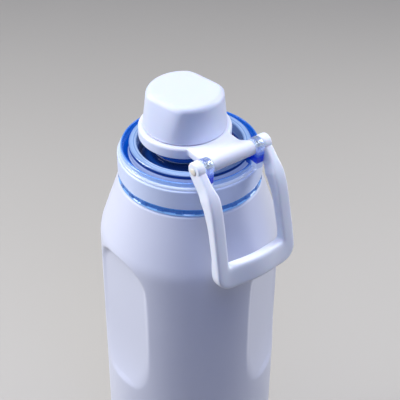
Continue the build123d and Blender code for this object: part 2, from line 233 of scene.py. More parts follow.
def add_node(tree, kind, settings=None, inputs=None, links=None):
    """Adds one node; settings are its properties, inputs its values, links the sockets that feed it."""
    node = tree.nodes.new(kind)
    for key, value in (settings or {}).items():
        setattr(node, key, value)
    for key, value in (inputs or {}).items():
        node.inputs[key].default_value = value
    for key, socket in (links or {}).items():
        tree.links.new(socket, node.inputs[key])
    return node


def new_material(name):
    """Empty node material, with its tree, its output node and its Object coordinates."""
    material = bpy.data.materials.new(name)
    material.use_nodes = True
    tree = material.node_tree
    tree.nodes.clear()
    output = add_node(tree, "ShaderNodeOutputMaterial")
    place = add_node(tree, "ShaderNodeTexCoord").outputs["Object"]
    return material, tree, output, place


def wear(piece, material):
    """Gives a piece or a CAD node this one material."""
    piece.data.materials.clear()
    piece.data.materials.append(material)


def powder_coat(name, colour, shade, roughness, grain_mm, grain_depth_mm):
    """Powder coat over steel: cured paint with a very fine orange peel and a soft, wide gloss.

    Slow noise shifts the colour a little between colour and shade; grain makes the peel.
    """
    material, tree, output, place = new_material(name)
    slow = add_node(tree, "ShaderNodeTexNoise", inputs={"Scale": 1 / (35 * MM), "Detail": 2.0},
                    links={"Vector": place})
    tint = add_node(tree, "ShaderNodeMix", {"data_type": "RGBA"}, {6: linear(colour), 7: linear(shade)},
                    {0: slow.outputs["Fac"]})
    grain = add_node(tree, "ShaderNodeTexNoise", inputs={"Scale": 1 / (grain_mm * MM), "Detail": 3.0},
                     links={"Vector": place})
    gloss = add_node(tree, "ShaderNodeMapRange",
                     inputs={"To Min": roughness - 0.05, "To Max": roughness + 0.06},
                     links={"Value": grain.outputs["Fac"]})
    bump = add_node(tree, "ShaderNodeBump", inputs={"Strength": 0.35, "Distance": grain_depth_mm * MM},
                    links={"Height": grain.outputs["Fac"]})
    surface = add_node(tree, "ShaderNodeBsdfPrincipled", inputs={"IOR": 1.5},
                       links={"Base Color": tint.outputs[2], "Roughness": gloss.outputs["Result"],
                              "Normal": bump.outputs["Normal"]})
    tree.links.new(surface.outputs["BSDF"], output.inputs["Surface"])
    return material


shell_coat = powder_coat("lavender_white_powder_coat", "#D3D7E8", "#CFD3E5", 0.42, 0.9, 0.05)
wear(outer_shell, shell_coat)
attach(outer_shell, "bottle")
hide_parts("outer_shell")


# ---- Inner liner, base cup and getter --------------------------------------------------------
# The inner bottle is drawn from the same stainless sheet and electropolished. Its lip is turned
# out over the shell's neck and welded; the base cup closes the vacuum space, getter inside.

liner_low, liner_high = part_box("inner_liner")
liner_floor, liner_top = liner_low.z / MM, liner_high.z / MM
liner_radius = liner_high.x / MM
bore = 26.6
liner_path = rounded_path([
    (0, liner_floor, 0), (liner_radius, liner_floor, 6.0), (liner_radius, 203.0, 14.0),
    (bore + sheet, 228.0, 4.0), (bore + sheet, liner_top - sheet, 0.3), (neck_radius, liner_top - sheet, 0.2),
    (neck_radius, liner_top, 0.3), (bore, liner_top, 0.5), (bore, 228.0, 3.3),
    (liner_radius - sheet, 203.0, 13.3), (liner_radius - sheet, liner_floor + sheet, 5.3),
    (0, liner_floor + sheet, 0)], closed=False)
inner_liner = skin("steel_inner_liner", spin(divide(liner_path, 6.0), turns=144), along=False)


def steel(name, colour, roughness, grain_mm):
    """Stainless steel: electropolished or brushed, with fine level lines."""
    material, tree, output, place = new_material(name)
    stretch = add_node(tree, "ShaderNodeMapping", inputs={"Scale": (0.04, 0.04, 1.0)},
                       links={"Vector": place})
    lines = add_node(tree, "ShaderNodeTexNoise", inputs={"Scale": 1 / (grain_mm * MM), "Detail": 3.0},
                     links={"Vector": stretch.outputs["Vector"]})
    gloss = add_node(tree, "ShaderNodeMapRange",
                     inputs={"To Min": roughness - 0.06, "To Max": roughness + 0.1},
                     links={"Value": lines.outputs["Fac"]})
    bump = add_node(tree, "ShaderNodeBump", inputs={"Strength": 0.2, "Distance": 0.02 * MM},
                    links={"Height": lines.outputs["Fac"]})
    surface = add_node(tree, "ShaderNodeBsdfPrincipled",
                       inputs={"Metallic": 1.0, "Base Color": linear(colour)},
                       links={"Roughness": gloss.outputs["Result"], "Normal": bump.outputs["Normal"]})
    tree.links.new(surface.outputs["BSDF"], output.inputs["Surface"])
    return material


liner_steel = steel("electropolished_stainless", "#C9C9CC", 0.22, 0.5)
wear(inner_liner, liner_steel)
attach(inner_liner, "bottle")
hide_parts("inner_liner")
for name in ("base_cup", "getter"):
    wear(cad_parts[name], liner_steel)


# ---- Foot pad --------------------------------------------------------------------------------
# A moulded silicone disc is bonded into the recess under the base, so the bottle stands quietly.
# Three shallow rings are moulded into its underside for grip.

pad_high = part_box("foot_pad")[1]
pad_radius, pad_thickness = pad_high.x / MM, pad_high.z / MM
pad_corners = [(0, pad_thickness, 0), (pad_radius, pad_thickness, 0.4), (pad_radius, 0, 0.8)]
for ring_radius in (30.0, 24.0, 18.0):
    pad_corners += [(ring_radius + 0.9, 0, 0.2), (ring_radius + 0.6, 0.6, 0.2),
                    (ring_radius - 0.6, 0.6, 0.2), (ring_radius - 0.9, 0, 0.2)]
pad_corners.append((0, 0, 0))
foot_pad = skin("silicone_foot_pad", spin(rounded_path(pad_corners, closed=False, steps=4), 144), along=False)


def silicone(name, colour, roughness, clearness):
    """Moulded silicone rubber: low gloss; clearness is the share of light that passes through."""
    material, tree, output, place = new_material(name)
    bloom = add_node(tree, "ShaderNodeTexNoise", inputs={"Scale": 1 / (6 * MM), "Detail": 4.0},
                     links={"Vector": place})
    gloss = add_node(tree, "ShaderNodeMapRange",
                     inputs={"To Min": roughness - 0.08, "To Max": roughness + 0.08},
                     links={"Value": bloom.outputs["Fac"]})
    surface = add_node(tree, "ShaderNodeBsdfPrincipled",
                       inputs={"Base Color": linear(colour), "IOR": 1.41, "Transmission Weight": clearness,
                               "Subsurface Weight": 0.2, "Subsurface Scale": 1.2 * MM},
                       links={"Roughness": gloss.outputs["Result"]})
    tree.links.new(surface.outputs["BSDF"], output.inputs["Surface"])
    return material


wear(foot_pad, silicone("grey_foot_silicone", "#AEB6C8", 0.62, 0.0))
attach(foot_pad, "bottle")
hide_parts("foot_pad")


# ---- Lid gasket ------------------------------------------------------------------------------
# A pale silicone ring seals the lid on the neck's lip. It is a plain flat ring with rounded edges
# and is pressed into the lid by hand.

gasket_low, gasket_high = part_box("lid_gasket")
gasket_bottom, gasket_top = gasket_low.z / MM, gasket_high.z / MM
gasket_path = rounded_path([
    (bore + 0.1, gasket_bottom, 0.4), (neck_radius, gasket_bottom, 0.4),
    (neck_radius, gasket_top, 0.4), (bore + 0.1, gasket_top, 0.4)], steps=4)
lid_gasket = skin("silicone_lid_gasket", spin(gasket_path, 160))
clear_silicone = silicone("milky_silicone", "#DDE2E8", 0.45, 0.15)
wear(lid_gasket, clear_silicone)
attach(lid_gasket, "seal_ring")
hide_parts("lid_gasket")


# ---- Lid core and plug plate -----------------------------------------------------------------
# The insulating plug under the lid is coloured dark navy; part of this is painted shade, which darkens
# the pit over it under the cap. A plate is welded on to close its air space, and the drinking bore runs
# through both, off centre like the cap.

core_low, core_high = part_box("lid_core")
cap_axis = 0.5 * (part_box("spout")[0].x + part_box("spout")[1].x) / MM
plug_radius, plug_top, plug_weld = core_high.x / MM, core_high.z / MM, core_low.z / MM
plug_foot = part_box("plug_plate")[0].z / MM
bore_radius = 12.5
slide_radius = 22.0                                # inside this the axis slides over to the bore


def spin_to_offset(corners, turns=160):
    """Like spin, but the axis slides sideways to the drinking bore as the radius shrinks to it."""
    path = divide(rounded_path(corners, steps=5), 2.5)
    share = np.clip((slide_radius - path[:, 0]) / (slide_radius - bore_radius), 0, 1)
    return spin(path, turns, centre_x=cap_axis * share[None])


core_grid = spin_to_offset([
    (bore_radius, plug_weld, 0), (14.1, plug_weld, 0.2), (14.1, plug_top - 2.0, 0.6),
    (plug_radius - 1.6, plug_top - 2.0, 0.6), (plug_radius - 1.6, plug_weld, 0.2),
    (plug_radius, plug_weld, 0), (plug_radius, plug_top, 0.3), (bore_radius, plug_top, 0)])
lid_core = skin("white_lid_core", core_grid)
plate_grid = spin_to_offset([
    (bore_radius, plug_foot, 0.5), (plug_radius, plug_foot, 0.8), (plug_radius, plug_weld, 0),
    (bore_radius, plug_weld, 0)])
plug_plate = skin("white_plug_plate", plate_grid)


def moulded_plastic(name, colour, shade, roughness, grain_mm, glow=0.12):
    """Moulded polypropylene: satin skin from a spark-eroded mould, a little light under the skin.

    Slow noise drifts the colour between colour and shade; fine noise breaks up the gloss.
    """
    material, tree, output, place = new_material(name)
    slow = add_node(tree, "ShaderNodeTexNoise", inputs={"Scale": 1 / (22 * MM), "Detail": 2.0},
                    links={"Vector": place})
    tint = add_node(tree, "ShaderNodeMix", {"data_type": "RGBA"}, {6: linear(colour), 7: linear(shade)},
                    {0: slow.outputs["Fac"]})
    grain = add_node(tree, "ShaderNodeTexNoise", inputs={"Scale": 1 / (grain_mm * MM), "Detail": 4.0},
                     links={"Vector": place})
    gloss = add_node(tree, "ShaderNodeMapRange",
                     inputs={"To Min": roughness - 0.05, "To Max": roughness + 0.07},
                     links={"Value": grain.outputs["Fac"]})
    bump = add_node(tree, "ShaderNodeBump", inputs={"Strength": 0.3, "Distance": 0.03 * MM},
                    links={"Height": grain.outputs["Fac"]})
    surface = add_node(tree, "ShaderNodeBsdfPrincipled",
                       inputs={"IOR": 1.49, "Subsurface Weight": glow, "Subsurface Scale": 1.5 * MM},
                       links={"Base Color": tint.outputs[2], "Roughness": gloss.outputs["Result"],
                              "Normal": bump.outputs["Normal"]})
    tree.links.new(surface.outputs["BSDF"], output.inputs["Surface"])
    return material


# Dark navy: partly painted shade, darkening the pit seen through the clear lid.
core_plastic = moulded_plastic("navy_core_with_painted_shade", "#2A3A63", "#24345C", 0.38, 0.8, glow=0.0)
for piece, node in ((lid_core, "lid_core"), (plug_plate, "plug_plate")):
    wear(piece, core_plastic)
    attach(piece, "lid")
    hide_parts(node)


# ---- Clear lid body --------------------------------------------------------------------------
# One injection moulding in transparent blue copolyester, polished like glass: skirt, rim, trough,
# raised ledge, pit floor and the two lugs that hold the hinge pin. Its inside thread isn't drawn.

deck, deck_under = 246.6, 245.0
skirt_bore, skirt_radius = 31.6, 33.3
skirt_foot, collar_top = 236.6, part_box("collar_band")[1].z / MM
rim_radius, rim_top, rim_step = 34.4, 250.5, 1.1
ledge_inner, ledge_outer, ledge_top = 25.4, 29.3, 252.0
lid_path = rounded_path([
    (bore_radius, deck_under, 0.2), (skirt_bore, deck_under, 0.8), (skirt_bore, skirt_foot, 0.2),
    (skirt_radius, skirt_foot, 0.2), (skirt_radius, collar_top + 0.1, 0.2),
    (rim_radius, collar_top + 0.1, 0.2),
    (rim_radius, collar_top + 1.35, 0.9), (rim_radius - rim_step, collar_top + 1.6, 0.3),
    (rim_radius - rim_step, rim_top, 0.6), (skirt_radius - rim_step, rim_top, 0.4),
    (skirt_radius - 0.9, deck, 0.8),
    (ledge_outer, deck, 0.8), (ledge_outer, ledge_top, 0.9), (ledge_inner, ledge_top, 0.9),
    (ledge_inner, deck, 0.8), (bore_radius, deck, 0.2)], steps=8)
lid_path = divide(lid_path, 1.6)
lid_share = np.clip((24.0 - lid_path[:, 0]) / (24.0 - bore_radius), 0, 1)
lid_ring = skin("clear_lid_body", spin(lid_path, 224, centre_x=cap_axis * lid_share[None]))

hinge_x = 0.5 * (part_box("hinge_pin")[0].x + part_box("hinge_pin")[1].x) / MM
hinge_z = 0.5 * (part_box("hinge_pin")[0].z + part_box("hinge_pin")[1].z) / MM
lug_inner, lug_outer, lug_radius = 12.4, 16.5, 4.2


def plate(outline, y_low, y_high, edge):
    """Closed plate: an (x, z) outline carried along Y, its edges rounded by edge.

    Through the thickness the outline is drawn in by edge * (1 - sin) while y runs by edge * cos;
    each face closes on the outline's middle.
    """
    middle = outline.mean(0)
    outward = outline - middle
    reach = np.hypot(*outward.T)[:, None]
    swing = np.linspace(0, np.pi / 2, 5)
    draw_in = np.concatenate([[1e9], edge * (1 - np.sin(swing)), edge * (1 - np.sin(swing[::-1])), [1e9]])
    y = np.concatenate([[y_low], y_low + edge * (1 - np.cos(swing)),
                        y_high - edge * (1 - np.cos(swing[::-1])), [y_high]])
    scale = np.clip(1 - draw_in[None] / reach, 0, 1)
    x = middle[0] + outward[:, :1] * scale
    z = middle[1] + outward[:, 1:] * scale
    return np.stack([x, np.broadcast_to(y, x.shape), z], -1)


def barrel(radius, y_low, y_high, edge, x, z, turns=64):
    """Closed cylinder along Y with rounded ends."""
    turn = np.linspace(0, 2 * np.pi, turns, endpoint=False)
    outline = np.column_stack([x + radius * np.cos(turn), z + radius * np.sin(turn)])
    return plate(outline, y_low, y_high, edge)


def join(name, base, others, operation="UNION", sharp=38):
    """One closed mesh from base and others, by an exact boolean."""
    for other in others:
        step = base.modifiers.new("join", "BOOLEAN")
        step.operation = operation
        step.solver = "EXACT"
        step.object = other
    bpy.context.view_layer.update()
    done = base.evaluated_get(bpy.context.evaluated_depsgraph_get())
    mesh = bpy.data.meshes.new_from_object(done)
    mesh.name = name
    for used in [base, *others]:
        bpy.data.objects.remove(used)
    return finish_mesh(name, mesh, sharp)


lugs = []
for side in (-1, 1):
    y_low, y_high = sorted((side * lug_inner, side * lug_outer))
    swing = np.linspace(-0.12 * np.pi, 1.12 * np.pi, 40)
    head = np.column_stack([hinge_x + lug_radius * np.cos(swing), hinge_z + lug_radius * np.sin(swing)])
    foot = rounded_path([
        (hinge_x - lug_radius - 0.6, hinge_z - 6.0, 0), (hinge_x - lug_radius - 3.4, rim_top - 1.4, 0),
        (hinge_x + lug_radius - 0.9, rim_top - 1.4, 0), (hinge_x + lug_radius - 0.4, hinge_z - 5, 0)],
        closed=False)
    lugs.append(skin("lug", plate(np.vstack([head, foot]), y_low, y_high, 0.5), along=False))
clear_lid = join("clear_lid_body", lid_ring, lugs)


def clear_plastic(name, ramp, above, wall, transmission, roughness, glow, clearing=None):
    """Transparent copolyester tinted in the mass, over what lies under it.

    The colours carry painted light as well as the tint. Long light paths down the walls look deep blue.
    Thin walls over the pale gasket look milky, with a painted reflection of the light above laid on top;
    pale bands on the rim are painted highlights; and the pit over the dark plug is painted navy, part of
    it painted shade under the cap, with a painted reflection band. ramp gives these as (radius mm,
    colour) from the axis. On the standing wall between the two wall radii the colour goes by height
    instead, as it does on all that stands higher than the first height in above; there the pale is
    painted light and the dark lines painted shade. clearing is (low, high, share): between the two
    heights the plastic grows clearer, to that share of transmission. glow is the strength of an
    emission in the same colour: a painted glow that stands in for the light that runs along inside the
    plastic. Slow noise waves the skin as on a moulding.
    """
    material, tree, output, place = new_material(name)
    flat = add_node(tree, "ShaderNodeVectorMath", {"operation": "MULTIPLY"}, {1: (1.0, 1.0, 0.0)},
                    {0: place})
    radius = add_node(tree, "ShaderNodeVectorMath", {"operation": "LENGTH"},
                      links={0: flat.outputs["Vector"]})
    height = add_node(tree, "ShaderNodeSeparateXYZ", links={"Vector": place})

    def tint_along(measure, colours):
        """Colour that follows a measure in metres through (millimetres, colour) pairs."""
        start, end = colours[0][0], colours[-1][0]
        share = add_node(tree, "ShaderNodeMapRange", inputs={"From Min": start * MM, "From Max": end * MM},
                         links={"Value": measure})
        tint = add_node(tree, "ShaderNodeValToRGB", links={"Fac": share.outputs["Result"]})
        stops = tint.color_ramp.elements
        for index, (at, shade) in enumerate(colours):
            stop = stops[index] if index < 2 else stops.new(1.0)
            stop.position = (at - start) / (end - start)
            stop.color = linear(shade)
        return tint.outputs["Color"]

    colour = tint_along(radius.outputs["Value"], ramp)
    if wall:
        band = tint_along(radius.outputs["Value"], [(wall[0][0] - 0.3, "#000000"), (wall[0][0], "#FFFFFF"),
                                                    (wall[0][1], "#FFFFFF"), (wall[0][1] + 0.3, "#000000")])
        colour = add_node(tree, "ShaderNodeMix", {"data_type": "RGBA"}, links={
            0: band, 6: colour, 7: tint_along(height.outputs["Z"], wall[1])}).outputs[2]
    if above:
        high = add_node(tree, "ShaderNodeMapRange",
                        inputs={"From Min": (above[0][0] - 0.3) * MM, "From Max": above[0][0] * MM},
                        links={"Value": height.outputs["Z"]})
        colour = add_node(tree, "ShaderNodeMix", {"data_type": "RGBA"}, links={
            0: high.outputs["Result"], 6: colour, 7: tint_along(height.outputs["Z"], above)}).outputs[2]
    wave = add_node(tree, "ShaderNodeTexNoise", inputs={"Scale": 1 / (7 * MM), "Detail": 1.0},
                    links={"Vector": place})
    bump = add_node(tree, "ShaderNodeBump", inputs={"Strength": 0.12, "Distance": 0.15 * MM},
                    links={"Height": wave.outputs["Fac"]})
    # Emission at strength glow lights the tint itself: a painted glow, not a lamp.
    surface = add_node(tree, "ShaderNodeBsdfPrincipled",
                       inputs={"Roughness": roughness, "IOR": 1.54, "Transmission Weight": transmission,
                               "Coat Weight": 0.2, "Coat Roughness": 0.04, "Emission Strength": glow},
                       links={"Base Color": colour, "Emission Color": colour,
                              "Normal": bump.outputs["Normal"]})
    if clearing:
        clearer = add_node(tree, "ShaderNodeMapRange",
                           inputs={"From Min": clearing[0] * MM, "From Max": clearing[1] * MM,
                                   "To Min": transmission, "To Max": clearing[2]},
                           links={"Value": height.outputs["Z"]})
        tree.links.new(clearer.outputs["Result"], surface.inputs["Transmission Weight"])
    tree.links.new(surface.outputs["BSDF"], output.inputs["Surface"])
    return material


# Lid tints by radius: the navy pit is partly painted shade under the cap, with a painted blue reflection band
# at 20 mm; the ledge's pale is the gasket seen through plus a painted reflection, its dark edge lines painted
# shade; the trough's deep blue is the tint; the pale rim top and outer face are painted highlights.
lid_tints_and_painted_light = [(15.0, "#12295C"), (18.0, "#15306C"), (20.0, "#1C56B0"), (22.0, "#183A7C"), (23.6, "#2E3450"),
             (25.0, "#2A4A90"), (25.7, "#9DBCE6"), (26.5, "#B6CCEC"), (26.9, "#6F94CE"), (27.3, "#AAC6EC"),
             (28.7, "#94B2E0"), (29.2, "#1F4690"), (29.8, "#0250B4"), (31.8, "#0258C0"), (32.3, "#0C66D0"),
             (33.2, "#86B2EA"), (33.5, "#D4E4FA"), (34.4, "#DCE8FA")]
# On the ledge's standing wall, by height: the pale low down is painted light, the navy line near the top a
# painted shadow in the crease, the pale top edge a painted highlight.
wall_painted_light_and_shade = [(247.0, "#E4F0FF"), (249.6, "#DCEBFF"), (250.0, "#152E74"),
              (251.2, "#183C86"), (251.8, "#A2BEE8")]
# On the lugs, by height: the deep blue below is the tint; the pale tops are painted highlights.
lug_tints_and_painted_highlight = [(252.6, "#0424C4"), (255.6, "#0A3CD8"), (257.2, "#6C9CEA"), (259.0, "#E4F0FE"),
             (264.2, "#DCEAFD")]
# glow=0.16 lays a painted glow over the whole lid.
clear_blue = clear_plastic("clear_blue_copolyester", lid_tints_and_painted_light, lug_tints_and_painted_highlight, ((29.1, 29.55), wall_painted_light_and_shade),
                           transmission=0.35, roughness=0.05, glow=0.16, clearing=(256.0, 258.0, 0.92))
wear(clear_lid, clear_blue)
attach(clear_lid, "lid")
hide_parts("lid_body")


# ---- Skirt ring ------------------------------------------------------------------------------
# A clear blue ring snaps into the foot of the skirt and holds the collar on. Small shallow bays
# are moulded round its outside, one every nine millimetres or so.

ring_low, ring_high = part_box("skirt_ring")
ring_foot, ring_top = ring_low.z / MM, ring_high.z / MM
ring_radius = 34.9
ring_path = divide(rounded_path([
    (skirt_bore, ring_foot, 0.3), (ring_radius, ring_foot, 0.5), (ring_radius, ring_top, 0.4),
    (skirt_bore, ring_top, 0.3)], steps=5), 0.45)
ring_grid = spin(ring_path, 480)
bay_count, bay_depth = 24, 0.55
turn = np.arctan2(ring_grid[..., 1], ring_grid[..., 0])
along_bay = (turn * bay_count / (2 * np.pi)) % 1.0
in_bay = smooth_step(along_bay, 0.16, 0.22) * (1 - smooth_step(along_bay, 0.78, 0.84))
middle_rows = smooth_step(ring_grid[..., 2], ring_foot + 0.7, ring_foot + 1.0) * (
    1 - smooth_step(ring_grid[..., 2], ring_top - 1.0, ring_top - 0.7))
on_outside = np.hypot(ring_grid[..., 0], ring_grid[..., 1]) > ring_radius - 0.2
shrink = 1 - bay_depth * in_bay * middle_rows * on_outside / ring_radius
ring_grid[..., :2] *= shrink[..., None]
skirt_ring = skin("clear_skirt_ring", ring_grid)
# Skirt ring by height: the pale bands at the foot and the top edge are painted light over the blue tint, and
# glow=0.15 adds a painted glow.
ring_tints_and_painted_light = [(ring_foot - 0.1, "#A9D0F8"), (ring_foot + 1.0, "#86BCF2"), (ring_foot + 1.4, "#0464BC"),
              (ring_top - 0.6, "#0260B8"), (ring_top, "#5AA0E4")]
wear(skirt_ring, clear_plastic("clear_blue_ring_copolyester", [(31.6, "#1B66C0"), (34.9, "#3C86D2")],
                               ring_tints_and_painted_light, None, transmission=0.3, roughness=0.06, glow=0.15))
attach(skirt_ring, "lid")
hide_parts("skirt_ring")


# ---- Collar band -----------------------------------------------------------------------------
# A drawn band, coated to match the bottle but smoother, slides over the clear skirt and is held
# between the rim and the skirt ring.

collar_low, collar_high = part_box("collar_band")
collar_radius, collar_foot, collar_head = collar_high.x / MM, collar_low.z / MM, collar_high.z / MM
collar_path = rounded_path([
    (skirt_radius + 0.1, collar_foot, 0.2), (collar_radius, collar_foot, 0.35),
    (collar_radius, collar_head, 0.9), (skirt_radius + 0.1, collar_head, 0.2)], steps=6)
collar_band = skin("coated_collar_band", spin(divide(collar_path, 2.0), 224))
wear(collar_band, powder_coat("smooth_collar_coat", "#D0DDFA", "#CCD9F7", 0.3, 1.4, 0.02))
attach(collar_band, "lid")
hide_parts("collar_band")


# ---- Spout and its seal ----------------------------------------------------------------------
# The drinking spout is moulded in deeper blue copolyester with a rounded lip and a screw thread
# for the cap. It drops through the pit floor on a flat silicone washer.

spout_low, spout_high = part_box("spout")
spout_foot, spout_top = spout_low.z / MM, spout_high.z / MM
spout_path = rounded_path([
    (10.8, spout_foot, 0.3), (12.4, spout_foot, 0.3), (12.4, deck + 0.6, 0), (16.0, deck + 0.6, 0.3),
    (16.0, deck + 2.0, 0.5), (12.7, deck + 2.6, 1.0), (12.7, 265.8, 2.0), (11.9, spout_top, 0.5),
    (10.8, spout_top, 0.5)], steps=6)
spout_grid = spin(divide(spout_path, 0.4), 144)
turn = np.arctan2(spout_grid[..., 1], spout_grid[..., 0]) % (2 * np.pi)
radius = np.hypot(spout_grid[..., 0], spout_grid[..., 1])
threaded = rolled_thread(radius, spout_grid[..., 2], turn, first=258.6, pitch=3.0, turns_long=1.7, crest=0.5)
radius = np.where((radius > 12.3) & (spout_grid[..., 2] > deck + 4), threaded, radius)
spout_grid[..., 0] = cap_axis + radius * np.cos(turn)
spout_grid[..., 1] = radius * np.sin(turn)
spout = skin("blue_spout", spout_grid)
spout_tints = [(0.0, "#1D5BC4"), (30.0, "#2A6AD0")]
# glow=0.1 gives the spout a painted glow.
wear(spout, clear_plastic("deep_blue_copolyester", spout_tints, None, None,
                          transmission=0.3, roughness=0.12, glow=0.1))
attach(spout, "lid")
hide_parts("spout")
wear(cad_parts["spout_seal"], clear_silicone)


# ---- Drinking cap ----------------------------------------------------------------------------
# The cap is moulded in white polypropylene: a round, tapered wall with two finger flats that lean
# in towards the top, a soft top edge, and a neck below for the tether to turn on.

cap_low, cap_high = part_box("cap_shell")
cap_neck_foot, cap_top = cap_low.z / MM, cap_high.z / MM
cap_base, cap_base_radius, cap_top_radius = 259.8, 20.1, 18.2
cap_flat_turn = math.radians(100.8)
cap_flat_top = 15.3
cap_blend = 2.4
cap_round = 2.8


def cap_wall(height, turn):
    """Radius of the cap's wall: a slow cone, cut by two planes that lean in by height."""
    rise = np.clip((height - cap_base) / (cap_top - cap_base), 0, 1)
    cone = cap_base_radius + (cap_top_radius - cap_base_radius) * rise
    lean = cap_base_radius + 0.5 + (cap_flat_top - cap_base_radius - 0.5) * rise
    facing = np.maximum(np.abs(np.cos(turn - cap_flat_turn)), 0.2)
    return soft_min(cone, lean / facing, cap_blend)


cap_turns, wall_rows = 224, 16
turn = np.linspace(0, 2 * np.pi, cap_turns, endpoint=False)[:, None]
swing = np.linspace(0, np.pi / 2, 12)
wall_z = np.linspace(cap_base + 0.5, cap_top - cap_round, wall_rows)
edge_z = cap_top - cap_round * (1 - np.sin(swing))
outer_z = np.concatenate([wall_z, edge_z[1:]])[None]
outer_in = np.concatenate([np.zeros(wall_rows), cap_round * (1 - np.cos(swing[1:]))])[None]
outer_r = cap_wall(outer_z, turn) - outer_in
crown = np.array([0.9, 0.75, 0.5, 0.25, 0.0])[None]
top_r = outer_r[:, -1:] * crown
top_z = np.full(crown.shape, cap_top)
cap_inside = rounded_path([
    (0, 275.6, 0), (12.5, 275.6, 1.0), (12.5, 272.8, 0), (15.05, 272.8, 0.4), (15.05, 262.0, 0),
    (17.1, 262.0, 0.3), (17.1, cap_neck_foot, 0.2),
    (18.6, cap_neck_foot, 0.2), (18.6, cap_base, 0.2), (cap_base_radius, cap_base, 0.4),
    (cap_base_radius, cap_base + 0.6, 0)], closed=False, steps=4)
inside_r = np.broadcast_to(cap_inside[:, 0], (cap_turns, len(cap_inside)))
cap_r = np.concatenate([inside_r[:, :-1], outer_r, top_r], axis=1)
cap_z = np.concatenate([cap_inside[:-1, 1], outer_z[0], top_z[0]])
cap_grid = np.stack([cap_axis + cap_r * np.cos(turn), cap_r * np.sin(turn),
                     np.broadcast_to(cap_z, cap_r.shape)], -1)
cap_shell = skin("white_cap_shell", cap_grid, along=False)
# The cap's white is set darker and bluer than the tether's and the handle's: painted shade, which dims its
# lit top and blues its shaded front.
cap_plastic = moulded_plastic("lavender_white_cap_plastic", "#D2D9EE", "#CED5EB", 0.4, 0.7)
wear(cap_shell, cap_plastic)
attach(cap_shell, "drinking_cap")
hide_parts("cap_shell")


# ---- Cap liner, seal and retainer ------------------------------------------------------------
# Inside the cap sit its threaded liner, a silicone disc that closes the spout, and below it the
# snap ring that keeps the tether on the cap's neck.

for name in ("cap_liner", "cap_retainer"):
    wear(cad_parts[name], cap_plastic)
wear(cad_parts["cap_seal"], clear_silicone)


# ---- Tether ----------------------------------------------------------------------------------
# One flexible moulding: a ring that turns on the cap's neck, a straight arm to the hinge, and a
# barrel for the pin. A lip round the ring hides the cap's snap ring.

tie_foot, tie_top, tie_radius, tie_bore = 254.8, 259.5, 22.3, 18.9
lip_foot, lip_bore = 253.6, 20.8
tie_path = rounded_path([
    (tie_bore, tie_foot, 0.3), (lip_bore, tie_foot, 0.2), (lip_bore, lip_foot, 0.2),
    (tie_radius, lip_foot, 0.6), (tie_radius, tie_top, 1.5), (tie_bore, tie_top, 0.3)], steps=8)
tie_ring = skin("tie_ring", spin(divide(tie_path, 1.2), 192, centre_x=cap_axis))
barrel_radius, barrel_half = 3.6, 12.1
rows = np.linspace(0, 1, 40)[:, None]
arm_start = cap_axis + 18.0
arm_x = arm_start + (hinge_x - arm_start) * rows
corner_round = 2.2
corner_at = cap_axis + math.sqrt((tie_radius + corner_round) ** 2 - (barrel_half + corner_round) ** 2)
into_corner = np.clip((corner_at - arm_x) / corner_round, 0, 1)
half_width = barrel_half + corner_round * (1 - np.sqrt(1 - into_corner ** 2))
arm_top = tie_top + (hinge_z + barrel_radius - 0.15 - tie_top) * smooth_step(arm_x, 20.5, hinge_x)
arm_foot = 255.2 + (hinge_z - barrel_radius + 0.8 - 255.2) * smooth_step(arm_x, 18.0, hinge_x)
section = np.linspace(0, 2 * np.pi, 48, endpoint=False)[None]
squircle = 0.2
across = np.sign(np.cos(section)) * np.abs(np.cos(section)) ** squircle
upward = np.sign(np.sin(section)) * np.abs(np.sin(section)) ** squircle
arm_y = half_width * across
arm_z = 0.5 * (arm_top + arm_foot) + 0.5 * (arm_top - arm_foot) * upward
arm_grid = np.stack([np.broadcast_to(arm_x, arm_y.shape), arm_y, arm_z], -1)
arm_ends = arm_grid.mean(1, keepdims=True)
arm_grid = np.concatenate([np.broadcast_to(arm_ends[:1], arm_grid[:1].shape), arm_grid,
                           np.broadcast_to(arm_ends[-1:], arm_grid[:1].shape)])
tie_arm = skin("tie_arm", arm_grid, around=False, along=True)
tie_barrel = skin("tie_barrel", barrel(barrel_radius, -barrel_half, barrel_half, 0.6, hinge_x, hinge_z),
                  along=False)
tether = join("white_tether", tie_ring, [tie_arm, tie_barrel])
cutter_path = rounded_path([(0, 250, 0), (tie_bore, 250, 0), (tie_bore, tie_top, 0),
                            (20.7, tie_top, 0), (20.7, 270, 0), (0, 270, 0)], closed=False)
neck_cutter = skin("cutter", spin(cutter_path, 192, centre_x=cap_axis), along=False)
pin_cutter = skin("cutter", barrel(1.25, -14, 14, 0.1, hinge_x, hinge_z), along=False)
tether = join("white_tether", tether, [neck_cutter, pin_cutter], "DIFFERENCE")
wear(tether, moulded_plastic("lavender_white_tether_plastic", "#E0E4F2", "#DCE0EF", 0.36, 0.7))
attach(tether, "cap_tether")
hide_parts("tether")


# ---- Hinge pin and its caps ------------------------------------------------------------------
# A polished stainless pin runs through both lugs, the tether and the handle. A small cream cap
# is pressed on each end.

